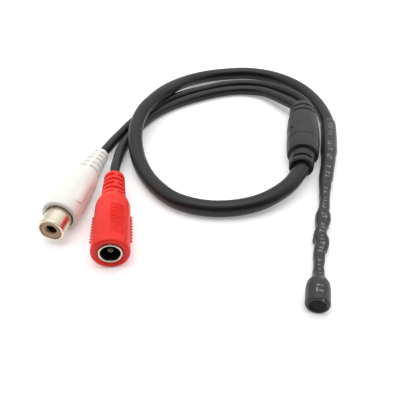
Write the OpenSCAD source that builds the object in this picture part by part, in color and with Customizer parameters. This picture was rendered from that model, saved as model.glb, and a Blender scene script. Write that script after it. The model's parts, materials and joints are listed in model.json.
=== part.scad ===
// Miniature microphone on a cable, with a phono socket and a power socket.
// Millimetres. The head lies along Y, the floor is z = 0.

/* [Cables] */
// Diameter of the main cable
main_d = 5.4; // [4.8:0.1:6]
// Diameter of the branch to the phono socket
rca_cable_d = 3.8; // [3:0.1:4.4]
// Diameter of the branch to the power socket
dc_cable_d = 4.2; // [3.4:0.1:4.8]
// Diameter of one insulated core
core_d = 0.9; // [0.6:0.1:1.1]

/* [Microphone capsule] */
// Outer diameter of the capsule can
capsule_d = 6; // [5:0.1:9.7]
// Length of the capsule can
capsule_l = 5; // [4:0.1:7]
// Wall of the can
can_wall = 0.2; // [0.15:0.05:0.4]
// Thickness of the capsule's round board
capsule_board_t = 0.6; // [0.4:0.1:1]
// Thickness of the felt on the front
felt_t = 0.3; // [0.2:0.05:0.6]

/* [Sleeve and preamplifier] */
// Wall of the heat shrink sleeve
sleeve_wall = 0.25; // [0.15:0.05:0.3]
// Width of the preamplifier board
preamp_w = 2.6; // [2:0.1:3]
// Length of the preamplifier board
preamp_l = 14; // [11:0.5:16]
// Thickness of the preamplifier board
preamp_t = 0.6; // [0.4:0.1:0.8]

/* [Splitter] */
// Length of the splitter
splitter_l = 44; // [40:1:54]
// Width of the splitter
splitter_w = 12.8; // [11.8:0.1:15.5]
// Height of the splitter
splitter_h = 9.8; // [9:0.1:11.8]
// Diameter of the end that takes the two branches
splitter_top_d = 9.9; // [9.8:0.1:11]
// Diameter of the end that takes the main cable
splitter_low_d = 8.7; // [7.8:0.1:9.4]

/* [Phono socket] */
// Diameter of the metal barrel
rca_barrel_d = 8.1; // [8:0.1:8.6]
// Length of the barrel that shows
rca_barrel_l = 6.5; // [5:0.1:9]
// Diameter of the insulator
rca_insulator_d = 6.7; // [6.2:0.1:7]
// Bore of the centre contact
rca_bore_d = 3.3; // [3.2:0.05:3.5]
// Diameter of the body at its front
rca_body_d = 11.6; // [10.8:0.1:13.8]
// Diameter of the body where its shoulder starts
rca_shoulder_d = 11.1; // [9.6:0.1:13.2]
// Length of the body
rca_body_l = 39; // [34:0.5:48]
// Diameter where the strain relief starts
rca_neck_d = 7.6; // [7:0.1:9]
// Diameter at the end of the strain relief
rca_tail_d = 5.8; // [5.2:0.1:6.6]
// Length of the strain relief
rca_relief_l = 12.5; // [12:0.5:15]

/* [Power socket] */
// Bore for the plug
dc_bore_d = 5.7; // [5.6:0.05:6.2]
// Diameter of the centre pin
dc_pin_d = 2.1; // [1.9:0.1:2.6]
// Depth of the socket
dc_depth = 9.5; // [8:0.5:11]
// Diameter of the body
dc_body_d = 11.4; // [11:0.1:13.6]
// Diameter of the body where its shoulder starts
dc_shoulder_d = 11; // [10:0.1:13.2]
// Length of the body
dc_body_l = 37.3; // [36:0.1:46]
// Diameter where the strain relief starts
dc_neck_d = 8.4; // [7.4:0.1:9]
// Diameter at the end of the strain relief
dc_tail_d = 7.6; // [6.4:0.1:8]
// Length of the strain relief
dc_relief_l = 10; // [9:0.5:13]

/* [Clearances] */
// Gap between a moulding and what it is moulded round
mould_gap = 0.03; // [0.02:0.01:0.06]
// Gap between the sleeve and what it is shrunk on
shrink_gap = 0.15; // [0.1:0.01:0.25]

/* [Hidden] */
$fn = 48;

// Colours
black_pvc = [0.13, 0.13, 0.14];
white_pvc = [0.95, 0.95, 0.92];
red_pvc = [0.95, 0.27, 0.25];
nickel = [0.78, 0.76, 0.7];
brass_tone = [0.8, 0.63, 0.3];
board_green = [0.1, 0.35, 0.2];

// Points of the head, rounded by hand: x, y, height, half width and half height of the sleeve
head_line = [
    [-9.3, -36.8, 2.3, 2.0, 2.0], [-8.7, -34.2, 2.0, 1.75, 1.75], [-7.8, -30.4, 1.9, 1.7, 1.7],
    [-6.8, -26.5, 2.0, 1.85, 1.8], [-5.9, -24.1, 2.1, 2.1, 2.0], [-5.5, -22.2, 2.2, 2.3, 2.1],
    [-5.2, -20.5, 2.2, 2.35, 2.1], [-5.0, -18.3, 2.2, 2.2, 2.1], [-4.4, -16.2, 2.1, 2.1, 2.0],
    [-3.5, -13.9, 2.1, 2.1, 2.0], [-2.9, -12.1, 2.2, 2.3, 2.1], [-2.5, -10.5, 2.2, 2.4, 2.1],
    [-1.9, -8.5, 2.1, 2.2, 2.0], [-1.1, -6.1, 2.0, 1.95, 1.9], [0.1, -1.2, 1.9, 1.8, 1.8],
    [1.1, 3.9, 2.1, 1.9, 1.9], [2.7, 9.3, 2.4, 2.35, 2.2], [4.4, 15.0, 2.6, 2.55, 2.4],
    [5.8, 20.8, 2.9, 2.7, 2.7]
];
// The stretch of the head that lies over the cable: x and y
lap_line = [[7.4, 26.9], [9.0, 34.1], [10.3, 40.5], [11.3, 46.1]];

// Head: where the capsule's front lies and how the head is turned there
capsule_at = [-11.3, -45.8];
capsule_turn = -12.5;
sleeve_sides = 20;
facet = cos(180 / sleeve_sides);
felt_d = capsule_d - 1.4;
lip_d = felt_d + 0.15;
sleeve_snug_r = (capsule_d / 2 + mould_gap) / facet;
capsule_out_r = sleeve_snug_r + sleeve_wall;
capsule_z = capsule_out_r * facet;
lap_out_r = main_d / 2 + shrink_gap + sleeve_wall;
lap_z = lap_out_r * facet;

// Preamplifier
preamp_at = [-3.75, -14.5, 1.65];
preamp_turn = -15.6;

// Splitter: the main cable's end is the origin of its own frame, and the branches leave at +Y.
// A wider one keeps its edge beside the head.
splitter_at = [-5.8 - (splitter_w - 12.8) / 2, 12.7];
splitter_turn = -10.3;
branch_gap = 1;
branch_span = rca_cable_d + dc_cable_d + branch_gap;
rca_off = (branch_span - rca_cable_d) / 2;
dc_off = -(branch_span - dc_cable_d) / 2;
splice_cavity = [7.2, 15, 5.2];

// Sockets: the mouth is the origin of each frame, and the cable leaves at +Y
rca_at = [-86.2, -20.6];
rca_turn = -9.6;
rca_roll = 15;
rca_l = rca_barrel_l + rca_body_l;
rca_edge_r = rca_body_d / 2;
rca_nose = 0.8;
rca_relief_s = rca_l - rca_relief_l;
rca_shoulder_s = rca_relief_s - 10.5;
rca_shell_back = rca_barrel_l + 7;
rca_root_r = rca_barrel_d / 2 - 0.25;
rca_mould_r = 3.4;

dc_at = [-67.0, -30.0];
dc_turn = 6.4;
dc_roll = 28;
dc_rib_h = 0.3;
dc_edge_r = dc_body_d / 2;
dc_nose = 1.7;
dc_relief_s = dc_body_l - dc_relief_l;
dc_shoulder_s = dc_relief_s - 5.3;
dc_mouth = 0.6;
dc_shell_d = dc_bore_d + 0.7;
dc_bead_r = 0.38;
dc_bead_s = dc_bead_r + 0.12;
dc_seat = dc_bead_s + dc_bead_r + mould_gap;
dc_liner_back = dc_mouth + dc_depth + 3;
dc_mould_r = 3.2;
dc_root_r = dc_pin_d / 2 - 0.25;

// Each body tapers from its front to its shoulder and lies on that taper
rca_tilt = -atan((rca_edge_r - rca_shoulder_d / 2) / (rca_shoulder_s - rca_barrel_l - rca_nose));
rca_z = rca_edge_r * cos(rca_tilt) - (rca_barrel_l + rca_nose) * sin(rca_tilt);
dc_tilt = -atan((dc_edge_r - dc_shoulder_d / 2) / (dc_shoulder_s - dc_nose));
dc_z = dc_edge_r * cos(dc_tilt) - dc_nose * sin(dc_tilt);

// Geometry of routes
function unit(v) = v / norm(v);
function heading(p, i) = unit(p[min(i + 1, len(p) - 1)] - p[max(i - 1, 0)]);
function xyz(v) = [v.x, v.y, v.z];

// A point at distance s behind the mouth of a piece, off to its side by u and up by w
function behind(at, tilt, turn, s, u = 0, w = 0) =
    at + [
        cos(turn) * u - sin(turn) * (cos(tilt) * s - sin(tilt) * w),
        sin(turn) * u + cos(turn) * (cos(tilt) * s - sin(tilt) * w),
        sin(tilt) * s + cos(tilt) * w
    ];

// One ring of a swept piece, round the point c and across the heading d
function ring(c, d, w, h, sides, off = [0, 0]) =
    let (side = unit(cross(d, [0, 0, 1])), up = cross(side, d))
    [for (k = [0 : sides - 1])
        let (a = 360 * (k + 0.5) / sides)
        c + side * (off.x + w * cos(a)) + up * (off.y + h * sin(a))];

// A solid tube of radius r along a route
module tube(route, r, sides, off = [0, 0]) {
    n = len(route);
    points = [for (i = [0 : n - 1]) each ring(route[i], heading(route, i), r, r, sides, off)];
    walls = [for (i = [0 : n - 2], k = [0 : sides - 1])
        let (a = i * sides + k, b = i * sides + (k + 1) % sides)
        [a, b, b + sides, a + sides]];
    first = [for (k = [sides - 1 : -1 : 0]) k];
    last = [for (k = [0 : sides - 1]) (n - 1) * sides + k];
    polyhedron(points, concat([first], walls, [last]), convexity = 10);
}

// A hollow tube between an outer and an inner list of stations
module hollow(outer, inner, sides) {
    outside = [for (i = [0 : len(outer) - 1])
        ring(xyz(outer[i]), heading([for (q = outer) xyz(q)], i), outer[i][3], outer[i][4], sides)];
    inside = [for (i = [len(inner) - 1 : -1 : 0])
        ring(xyz(inner[i]), heading([for (q = inner) xyz(q)], i), inner[i][3], inner[i][4], sides)];
    rings = concat(outside, inside);
    n = len(rings);
    faces = [for (i = [0 : n - 1], k = [0 : sides - 1])
        let (a = i * sides, b = ((i + 1) % n) * sides, l = (k + 1) % sides)
        [a + k, a + l, b + l, b + k]];
    polyhedron([for (q = rings) each q], faces, convexity = 10);
}

// A solid of revolution about the local Y axis, from an outline of [radius, distance] points
module turned(outline) {
    rotate([-90, 0, 0]) rotate_extrude() polygon(outline);
}

// A round bar or bore about the local Y axis, from s0 to s1
module bar(d, s0, s1) {
    translate([0, s0, 0]) rotate([-90, 0, 0]) cylinder(d = d, h = s1 - s0);
}

// Outline points of an even S curve from radius r0 at s0 to r1 at s1
function s_curve(r0, s0, r1, s1, n = 6) =
    [for (i = [0 : n]) [r0 + (r1 - r0) * (1 - cos(180 * i / n)) / 2, s0 + (s1 - s0) * i / n]];

// Outline points of a side that runs from r0 at s0 to r1 at s1 and bows out by rise between
function bowed(r0, r1, rise, t) = r0 + (r1 - r0) * t + rise * sin(180 * t);
function bulge(r0, s0, r1, s1, rise, n) =
    [for (i = [0 : n]) [bowed(r0, r1, rise, i / n), s0 + (s1 - s0) * i / n]];

// Outline points of a rounded corner: centre, radius and the angles it turns through
function corner(c, r, a0, a1, n = 4) =
    [for (i = [0 : n]) let (a = a0 + (a1 - a0) * i / n) c + r * [cos(a), sin(a)]];

module at_capsule() {
    translate([capsule_at.x, capsule_at.y, capsule_z]) rotate([0, 0, capsule_turn]) children();
}

module at_preamp() {
    translate(preamp_at) rotate([0, 0, preamp_turn]) children();
}

module at_splitter() {
    translate([splitter_at.x, splitter_at.y, splitter_h / 2]) rotate([0, 0, splitter_turn]) children();
}

module at_rca() {
    translate([rca_at.x, rca_at.y, rca_z]) rotate([rca_tilt, 0, rca_turn]) children();
}

module at_dc() {
    translate([dc_at.x, dc_at.y, dc_z]) rotate([dc_tilt, 0, dc_turn]) children();
}

function capsule_point(s) =
    behind([capsule_at.x, capsule_at.y, capsule_z], 0, capsule_turn, s);
function splitter_point(s, u = 0) =
    behind([splitter_at.x, splitter_at.y, splitter_h / 2], 0, splitter_turn, s, u);
function rca_point(s, u = 0, w = 0) =
    behind([rca_at.x, rca_at.y, rca_z], rca_tilt, rca_turn, s, u, w);
function dc_point(s, u = 0, w = 0) =
    behind([dc_at.x, dc_at.y, dc_z], dc_tilt, dc_turn, s, u, w);

// Cable routes. The ends follow the pieces, and the points between were placed by hand, for a main cable
// of 5.4, branches of 3.8 and 4.2, and a splitter with its ends here:
placed_low = [-5.8, 12.7, 4.9];
placed_top = behind(placed_low, 0, splitter_turn, 44);

// Points of a route: the first n follow a start that has moved, all lie higher by lift, and those between
// the ends make way to the inside of the loop
function line_on(points, moved, n, lift = 0, aside = 0) =
    let (last = len(points) - 1)
    [for (i = [0 : last])
        let (d = heading(points, i), share = min(1, i / 3, (last - i) / 3))
        points[i] + moved * max(0, 1 - i / n) + share * aside * [-d.y, d.x, 0] + [0, 0, lift]];

main_z = main_d / 2;
main_grown = (main_d - 5.4) / 2;
rca_grown = (rca_cable_d - 3.8) / 2;
dc_grown = (dc_cable_d - 4.2) / 2;
low_moved = splitter_point(0) - placed_low;
top_moved = splitter_point(splitter_l) - placed_top;
main_route = concat(
    [splitter_point(0), splitter_point(-1.2)],
    line_on([
        [-7.7, 9.2, 4.8], [-10.8, 5.4, 4.5], [-14.4, 1.6, 4.1], [-20.4, -2.9, 3.5], [-27.5, -5.8, 3],
        [-35.7, -6.8, main_z], [-43.7, -5.6, main_z], [-51.1, -1.9, main_z], [-57.3, 4.9, main_z],
        [-61.9, 13.3, 2.8], [-65.0, 22.5, 3.7], [-66.6, 32.3, 5.5], [-66.4, 41.7, 7],
        [-64.5, 51.0, 7.7], [-61.6, 59.1, 7.5], [-58.1, 67.2, 7.1], [-52.9, 78.2, 5.2],
        [-45.3, 88.5, 3.4], [-36.5, 94.5, main_z], [-26.7, 96.9, main_z], [-17.1, 97.5, main_z],
        [-7.7, 94.3, main_z], [0.5, 87.7, main_z], [6.4, 78.7, main_z], [9.7, 68.7, main_z + 0.1],
        [11.3, 58.5, main_z + 0.2]
    ], low_moved, 6),
    [for (i = [len(lap_line) - 1 : -1 : 0]) [lap_line[i].x, lap_line[i].y, lap_z]]
);
rca_route = concat(
    [splitter_point(splitter_l, rca_off), splitter_point(splitter_l + 3, rca_off)],
    line_on([
        [4.3, 64.2, 4.9], [2.9, 68.6, 4.9], [0.4, 73.0, 4.7], [-3.9, 78.9, 4], [-8.9, 83.9, 3.1],
        [-15.4, 87.1, 2.3], [-22.8, 87.7, 1.9], [-31.7, 85.3, 1.9], [-40.5, 80.8, 1.9],
        [-48.3, 75.7, 1.9], [-55.7, 69.9, 1.9], [-62.1, 63.1, 1.9], [-67.2, 55.7, 1.9],
        [-71.2, 48.1, 1.9], [-73.9, 41.2, 2.2], [-76.1, 33.8, 3.2]
    ], top_moved, 9, rca_grown, main_grown + rca_grown),
    [rca_point(rca_l + 3), rca_point(rca_l)]
);
dc_route = concat(
    [splitter_point(splitter_l, dc_off), splitter_point(splitter_l + 1.5, dc_off)],
    line_on([
        [-1.5, 61.1, 4.7], [-3.8, 65.1, 4.3], [-7.4, 70.7, 3.7], [-11.9, 76.3, 3], [-17.3, 79.3, 2.4],
        [-24.3, 80.1, 2.1], [-32.6, 78.0, 2.1], [-40.4, 74.4, 2.1], [-48.0, 69.8, 2.1],
        [-55.2, 64.1, 2.1], [-61.1, 57.4, 2.1], [-65.5, 49.8, 2.1], [-68.7, 41.4, 2.1],
        [-70.8, 34.0, 2.4], [-71.8, 26.2, 3.2], [-71.9, 19.4, 4.2]
    ], top_moved, 9, dc_grown, main_grown + 2 * rca_grown + dc_grown),
    [dc_point(dc_body_l + 5), dc_point(dc_body_l)]
);

// Heat shrink sleeve
module heat_shrink_sleeve() {
    full = capsule_out_r;
    snug = sleeve_snug_r;
    outer = concat(
        [for (q = [[-sleeve_wall, lip_d / 2 + 0.15], [0.02 - sleeve_wall, full - 0.45], [-0.12, full - 0.15],
                [0.35, full], [capsule_l * 0.5, full], [capsule_l + 0.5, full], [capsule_l + 1.5, full - 0.12],
                [capsule_l + 2.4, full - 0.5], [capsule_l + 3.2, full - 0.95]])
            let (p = capsule_point(q[0])) [p.x, p.y, p.z - max(0, q[0] - capsule_l - 1) * 0.3, q[1], q[1]]],
        head_line,
        [for (q = lap_line) [q.x, q.y, lap_z, lap_out_r, lap_out_r]]
    );
    inner = concat(
        [for (q = [[-sleeve_wall, lip_d / 2], [-mould_gap, lip_d / 2], [-mould_gap, snug],
                [capsule_l * 0.5, snug], [capsule_l + 0.5, snug], [capsule_l + 1.5, snug - 0.12],
                [capsule_l + 2.4, snug - 0.5], [capsule_l + 3.2, snug - 0.95]])
            let (p = capsule_point(q[0])) [p.x, p.y, p.z - max(0, q[0] - capsule_l - 1) * 0.3, q[1], q[1]]],
        [for (q = head_line) [q.x, q.y, q.z, q[3] - sleeve_wall, q[4] - sleeve_wall]],
        [for (q = lap_line) [q.x, q.y, lap_z, lap_out_r - sleeve_wall, lap_out_r - sleeve_wall]]
    );
    color(black_pvc) hollow(outer, inner, sleeve_sides);
}

// Electret capsule
can_in_d = capsule_d - 2 * can_wall;
insert_d = can_in_d - 2 * mould_gap;
stack_0 = can_wall + mould_gap;
ring_t = 0.4;
foil_t = 0.05;
spacer_t = 0.1;
plate_t = 0.4;
stack_1 = stack_0 + ring_t + mould_gap;
stack_2 = stack_1 + spacer_t + mould_gap;
stack_3 = stack_2 + plate_t + mould_gap;
board_1 = capsule_l - can_wall - mould_gap;
board_0 = board_1 - capsule_board_t;
plate_d = insert_d - 0.8;

module capsule_can() {
    r = capsule_d / 2;
    lip = insert_d / 2 - 0.35;
    color([0.8, 0.8, 0.82]) at_capsule() difference() {
        turned(concat(
            [[0, 0]], corner([r - 0.4, 0.4], 0.4, -90, 0), [[r, capsule_l]],
            [[lip, capsule_l], [lip, capsule_l - can_wall], [r - can_wall, capsule_l - can_wall]],
            [[r - can_wall, can_wall], [0, can_wall]]
        ));
        for (a = [0 : 120 : 240]) rotate([0, a, 0]) translate([1.1, 0, 0]) bar(0.7, -1, 1);
    }
}

module capsule_felt() {
    color([0.07, 0.07, 0.08]) at_capsule() bar(felt_d, -felt_t, 0);
}

module capsule_diaphragm() {
    color([0.85, 0.8, 0.55]) at_capsule() difference() {
        bar(insert_d, stack_0, stack_0 + ring_t);
        bar(plate_d - 0.2, stack_0 - 1, stack_0 + ring_t - foil_t);
    }
}

module capsule_spacer() {
    color([0.9, 0.9, 0.9]) at_capsule() difference() {
        bar(insert_d, stack_1, stack_1 + spacer_t);
        bar(plate_d - 0.2, stack_1 - 1, stack_1 + 1);
    }
}

module capsule_backplate() {
    color([0.75, 0.68, 0.5]) at_capsule() difference() {
        bar(plate_d, stack_2, stack_2 + plate_t);
        for (a = [45 : 90 : 315]) rotate([0, a, 0]) translate([1.2, 0, 0]) bar(0.6, stack_2 - 1, stack_2 + 1);
    }
}

module capsule_holder() {
    color([0.92, 0.9, 0.84]) at_capsule() difference() {
        bar(insert_d, stack_2, board_0 - mould_gap);
        bar(plate_d + 2 * mould_gap, stack_2 - 1, stack_3);
        bar(plate_d - 0.7, stack_2 - 1, capsule_l);
    }
}

module capsule_gate_ring() {
    outer_d = plate_d - 0.7 - 2 * mould_gap;
    color(brass_tone) at_capsule() difference() {
        bar(outer_d, stack_3, board_0 - mould_gap);
        bar(outer_d - 0.4, stack_3 - 1, capsule_l);
    }
}

module capsule_board() {
    color(board_green) at_capsule() bar(insert_d, board_0, board_1);
}

module capsule_transistor() {
    color([0.12, 0.12, 0.12]) at_capsule()
        translate([-0.7, board_0 - mould_gap - 0.8, -0.5]) cube([1.4, 0.8, 1]);
}

wire_d = 0.7;
module capsule_wires() {
    start = capsule_point(capsule_l + mould_gap);
    route = concat(
        [start, capsule_point(capsule_l + 1)],
        [for (i = [0 : 3]) xyz(head_line[i]) - [0, 0, 0.1]],
        [behind(preamp_at, 0, preamp_turn, -preamp_l / 2 - 0.1)]
    );
    color([0.75, 0.15, 0.15]) for (u = [-1, 1]) tube(route, wire_d / 2, 8, [u * 0.55, 0]);
}

// Preamplifier
module preamp_board() {
    color(board_green) at_preamp() translate([-preamp_w / 2, -preamp_l / 2, -preamp_t / 2])
        cube([preamp_w, preamp_l, preamp_t]);
}

preamp_top = preamp_t / 2 + mould_gap;
module preamp_transistor() {
    color([0.12, 0.12, 0.12]) at_preamp() translate([-0.65, -1.6, preamp_top]) cube([1.3, 2.9, 0.9]);
}

module preamp_capacitors() {
    color([0.75, 0.45, 0.2]) at_preamp() for (y = [-5.2, 4.2])
        translate([0.1, y, preamp_top]) cylinder(d = 3, h = 0.9);
}

module preamp_resistors() {
    color([0.15, 0.15, 0.18]) at_preamp() for (x = [-0.7, 0.7])
        translate([x - 0.4, -3.4, preamp_top]) cube([0.8, 1.6, 0.45]);
}

core_gap = 0.2;
module cable_cores() {
    last = len(head_line) - 1;
    route = concat(
        [behind(preamp_at, 0, preamp_turn, preamp_l / 2 + core_gap)],
        [for (i = [last - 5 : last]) xyz(head_line[i])],
        [[lap_line[0].x, lap_line[0].y, lap_z] - core_gap * unit([lap_line[1].x, lap_line[1].y, 0]
            - [lap_line[0].x, lap_line[0].y, 0])]
    );
    color([0.85, 0.75, 0.2]) for (u = [-1 : 1]) tube(route, core_d / 2, 8, [u * 0.85, (u == 0 ? 0.6 : -0.3)]);
}

// Cables
module main_cable() {
    color(black_pvc) tube(main_route, main_d / 2, 12);
}

module rca_branch_cable() {
    color(black_pvc) tube(rca_route, rca_cable_d / 2, 8);
}

module dc_branch_cable() {
    color(black_pvc) tube(dc_route, dc_cable_d / 2, 10);
}

// Splitter: its shell is a skirt over the lower strain relief and swells between the two reliefs
skirt_s = 7.9;
skirt_r = splitter_w / 2 - 0.85;
seam_s = 16.8;
seam_depth = 0.2;
splice_s = 25;
relief_s = splitter_l - 7.6;
relief_r = splitter_top_d / 2 + 0.7;
splitter_bow = (splitter_w - skirt_r - relief_r) / 2;
module splitter_body() {
    low = splitter_low_d / 2;
    top = splitter_top_d / 2;
    color(black_pvc) at_splitter() difference() {
        intersection() {
            turned(concat(
                [[0, 0]], corner([low - 0.4, 0.4], 0.4, -90, 0, 3),
                [[low + 0.25, 2.9], [low - 0.5, 3], [low - 0.5, 3.5], [low + 0.35, 3.6]],
                [[low + 0.6, 5.4], [low - 0.4, 5.6], [low - 0.3, skirt_s - 0.2], [skirt_r - 0.2, skirt_s - 0.2]],
                bulge(skirt_r, skirt_s, relief_r, relief_s, splitter_bow, 14),
                corner([top - 0.45, splitter_l - 0.45], 0.45, 0, 90, 3),
                [[0, splitter_l]]
            ));
            splitter_oval();
            splitter_side();
        }
        splitter_seam();
        for (s = [relief_s + 1.3, relief_s + 5.1]) collar_slot(s, top + 0.35);
        for (s = [1.6, 4.7], u = [-1, 1]) flank_slot(u * (low + 0.5), s);
        translate([-4.9, 21.6, 2.9]) cube([0.6, 1.4, 3]);
        translate([0, splice_s, 0]) splice_room(0);
    }
}

// The oval outline of the splitter: flat arcs above and below between round flanks
module splitter_oval(inset = 0) {
    arc = 0.7 * splitter_w;
    rotate([-90, 0, 0]) linear_extrude(splitter_l) intersection() {
        circle(r = splitter_w / 2 - inset);
        translate([0, splitter_h / 2 - inset - arc]) circle(r = arc, $fn = 96);
        translate([0, arc + inset - splitter_h / 2]) circle(r = arc, $fn = 96);
    }
}

// The outline of the splitter from its side
module splitter_side(inset = 0) {
    half = splitter_h / 2 - inset;
    upper = bulge(half - 0.9, 0, half - 0.75, splitter_l, 0.85, 12);
    lower = [for (i = [len(upper) - 1 : -1 : 0]) [-upper[i].x, upper[i].y]];
    rotate([0, -90, 0]) linear_extrude(splitter_w + 2, center = true) polygon(concat(upper, lower));
}

// A cut of even depth all round the section, where the outline's radius is r
module section_cut(s, half, r, depth) {
    difference() {
        bar(splitter_w + 2, s - half, s + half);
        intersection() {
            bar(2 * (r - depth), s - 1, s + 1);
            splitter_oval(depth);
            splitter_side(depth);
        }
    }
}

// A fine groove all round the shell
module splitter_seam() {
    t = (seam_s - skirt_s) / (relief_s - skirt_s);
    section_cut(seam_s, 0.15, bowed(skirt_r, relief_r, splitter_bow, t), seam_depth);
}

// A slit across the upper and the lower side
module collar_slot(s, r) {
    intersection() {
        section_cut(s, 0.25, r, 0.6);
        translate([-r * 0.82, s - 1, -r]) cube([r * 1.64, 2, 2 * r]);
    }
}

// A slot in a flank of the lower strain relief
module flank_slot(x, s) {
    translate([x - 0.9, s - 0.35, -1.7]) cube([1.8, 0.7, 3.4]);
}

module splice_room(gap) {
    translate([-splice_cavity.x / 2 + gap, -splice_cavity.y / 2 + gap, -splice_cavity.z / 2 + gap])
        cube(splice_cavity - 2 * gap * [1, 1, 1]);
}

module splitter_splices() {
    color([0.7, 0.7, 0.66]) at_splitter() translate([0, splice_s, 0]) for (u = [-1 : 1])
        translate([u * 2.2, 0, 0]) {
            bar(2, -6.5, 6.5);
            bar(core_d, -7.4, 7.4);
        }
}

// Phono socket
module rca_body() {
    r = rca_edge_r;
    neck = rca_neck_d / 2;
    tail = rca_tail_d / 2;
    front = rca_barrel_l;
    color(white_pvc) at_rca() rotate([0, rca_roll, 0]) difference() {
        turned(concat(
            [[0, front]], corner([r - rca_nose, front + rca_nose], rca_nose, -90, 0),
            s_curve(rca_shoulder_d / 2, rca_shoulder_s, neck, rca_relief_s, 8),
            corner([tail - 1, rca_l - 1], 1, 0, 90, 4),
            [[0, rca_l]]
        ));
        for (i = [0 : 4])
            side_groove(rca_l - 2.5 - 2.9 * i, neck + 0.2, tail - 0.45 + i * 0.2, 0.6);
        for (a = [-1, 1]) thumb_pad(a * (r + 60 - 0.55), front + 12.5, 60);
        bar(2 * (rca_root_r + mould_gap), 0, rca_shell_back + mould_gap);
        bar(2 * (rca_mould_r + mould_gap), rca_shell_back, rca_relief_s);
        bar(rca_cable_d - 0.8, rca_shell_back, rca_l - 8);
    }
}

// A groove in both flanks of a strain relief, with a plain spine left above and below
module side_groove(s, r_out, r_in, half) {
    difference() {
        bar(2 * r_out + 2, s - half, s + half);
        bar(2 * r_in, s - half - 1, s + half + 1);
        for (z = [-1, 1]) translate([-0.7, s - 2, z > 0 ? 0 : -r_out - 3]) cube([1.4, 4, r_out + 3]);
    }
}

// A shallow scoop for the thumb
module thumb_pad(x, s, r) {
    translate([x, s, 0]) sphere(r = r, $fn = 120);
}

module rca_shell() {
    r = rca_barrel_d / 2;
    bore = rca_insulator_d / 2 + mould_gap;
    color(nickel) at_rca() turned(concat(
        [[bore, 0.1], [bore + 0.1, 0]], corner([r - 0.2, 0.25], 0.25, -90, 0, 3),
        [[r + 0.05, 0.9], [r, 1.0], [r, rca_barrel_l], [rca_root_r, rca_barrel_l],
            [rca_root_r, rca_shell_back], [bore - 0.8, rca_shell_back],
            [bore - 0.8, rca_shell_back - 0.5], [bore, rca_shell_back - 0.5]]
    ));
}

module rca_insulator() {
    color([0.72, 0.56, 0.42]) at_rca() difference() {
        bar(rca_insulator_d, 0.35, rca_shell_back - 0.5 - mould_gap);
        bar(rca_bore_d + 0.2, 0, 1.2);
        bar(rca_bore_d + 0.8 + 2 * mould_gap, 1.2, rca_shell_back);
    }
}

module rca_contact() {
    end = rca_shell_back - 0.5;
    color(brass_tone) at_rca() difference() {
        union() {
            bar(rca_bore_d + 0.8, 1.2 + mould_gap, end);
            bar(1.6, end, end + 3);
        }
        bar(rca_bore_d, 0, end - 0.6);
    }
}

module rca_inner_mould() {
    mould_end = rca_relief_s - mould_gap;
    color([0.85, 0.85, 0.8]) at_rca() difference() {
        bar(2 * rca_mould_r, rca_shell_back + mould_gap, mould_end);
        bar(1.6 + 2 * mould_gap, 0, rca_shell_back + 2.7);
        bar(1.2 + 2 * mould_gap, 0, rca_l);
        translate([2.2, 0, 0]) bar(0.8 + 2 * mould_gap, 0, rca_l);
    }
}

module rca_core_wires() {
    color([0.8, 0.5, 0.3]) at_rca() {
        bar(1.2, rca_shell_back + 2.6 + mould_gap, rca_l - 9);
        translate([2.2, 0, 0]) bar(0.8, rca_shell_back + 2 * mould_gap, rca_relief_s - 2 * mould_gap);
    }
}

// Power socket
module dc_body() {
    r = dc_edge_r;
    neck = dc_neck_d / 2;
    tail = dc_tail_d / 2;
    bead_out_r = dc_shell_d / 2 + dc_bead_r;
    color(red_pvc) at_dc() rotate([0, dc_roll, 0]) difference() {
        union() {
            turned(concat(
                [[0, dc_seat], [bead_out_r + mould_gap, dc_seat], [bead_out_r + mould_gap, 0.2],
                    [bead_out_r + 0.15, 0]],
                corner([r - dc_nose, dc_nose], dc_nose, -90, 0, 6),
                s_curve(dc_shoulder_d / 2, dc_shoulder_s, neck, dc_relief_s, 5),
                corner([tail - 1.2, dc_body_l - 1.2], 1.2, 0, 90, 4),
                [[0, dc_body_l]]
            ));
            for (i = [0 : 8]) flank_rib(4.8 + 1.4 * i, r + dc_rib_h);
        }
        for (i = [0 : 4])
            strain_groove(dc_body_l - 2.7 - 2.25 * i, neck + 0.6, tail - 0.5 + i * 0.12, i % 2);
        for (i = [0 : 13]) panel_groove(3.4 + 0.95 * i, r);
        bar(dc_shell_d + 2 * mould_gap, -1, dc_liner_back + mould_gap);
        bar(2 * (dc_mould_r + mould_gap), 0, dc_relief_s - 1);
        bar(dc_cable_d - 0.8, 0, dc_body_l - 7);
    }
}

// A grip rib on both flanks
module flank_rib(s, r) {
    intersection() {
        difference() {
            bar(2 * r, s - 0.35, s + 0.35);
            bar(2 * r - 2, s - 1, s + 1);
        }
        translate([-r - 1, s - 1, -2.6]) cube([2 * r + 2, 2, 5.2]);
    }
}

// A strain relief groove: every other one runs across the spine
module strain_groove(s, r_out, r_in, across) {
    difference() {
        bar(2 * r_out + 2, s - 0.5, s + 0.5);
        bar(2 * r_in, s - 2, s + 2);
        if (across == 1) {
            for (x = [-1, 1]) translate([x > 0 ? 2.2 : -2.2 - r_out, s - 2, -r_out])
                cube([r_out, 4, 2 * r_out]);
        } else {
            for (z = [-1, 1]) translate([-0.6, s - 2, z > 0 ? 0 : -r_out - 3]) cube([1.2, 4, r_out + 3]);
        }
    }
}

// A fine line across the grip panel on the top and the bottom
module panel_groove(s, r) {
    for (z = [-1, 1]) translate([-2.1, s - 0.18, z * (r - 0.45) - (z > 0 ? 0 : 1)]) cube([4.2, 0.36, 1]);
}

module dc_shell() {
    color(nickel) at_dc() union() {
        turned(corner([dc_shell_d / 2, dc_bead_s], dc_bead_r, 180, 540, 16));
        difference() {
            bar(dc_shell_d, dc_bead_s, dc_mouth + 5);
            bar(dc_shell_d - 0.4, 0, dc_mouth + 6);
        }
    }
}

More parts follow.
